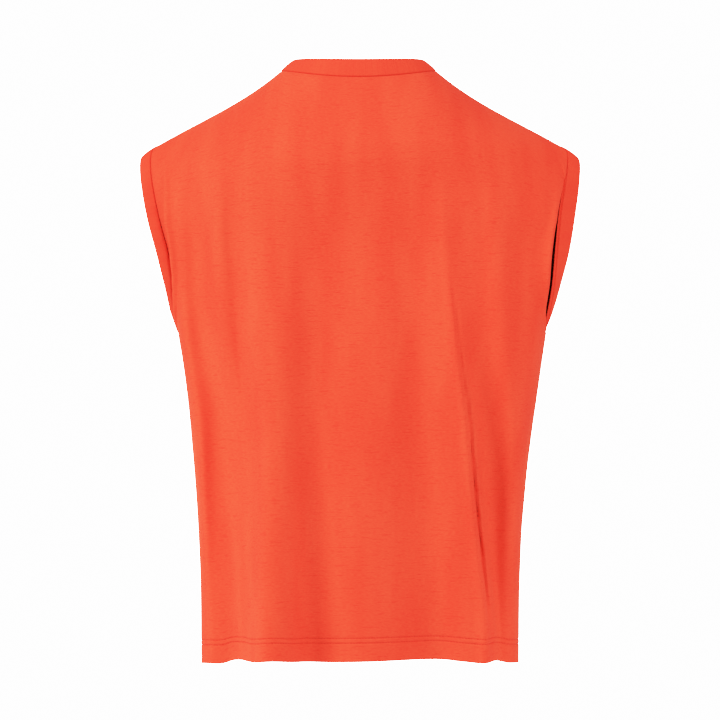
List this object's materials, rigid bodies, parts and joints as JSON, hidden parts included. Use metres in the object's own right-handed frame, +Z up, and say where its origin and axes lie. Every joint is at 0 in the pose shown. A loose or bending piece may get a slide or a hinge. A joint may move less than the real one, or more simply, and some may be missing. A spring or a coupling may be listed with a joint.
{
  "type": "sleeveless t-shirt",
  "caption": "Boxy sleeveless slub-jersey T-shirt in coral red, hollow and filled out as worn, with crew neckband, armhole bands and hanging folds.",
  "frame": {"origin": "between the shoulders, on the middle plane, level with the middle of the shoulder seams, where a wearer's shoulders hold the garment", "axes": "+Z up, the front faces -Y, the back faces +Y, and +X is the wearer's left"},
  "size_m": [0.4505, 0.2523, 0.6148],
  "materials": {
    "jersey": "matte slub cotton jersey, coral red",
    "band": "matte folded band, coral red"
  },
  "bodies": {
    "root": {"back_panel": "jersey", "front_panel": "jersey", "neckband": "band", "armhole_band_left": "band", "armhole_band_right": "band"}
  },
  "joints": []
}
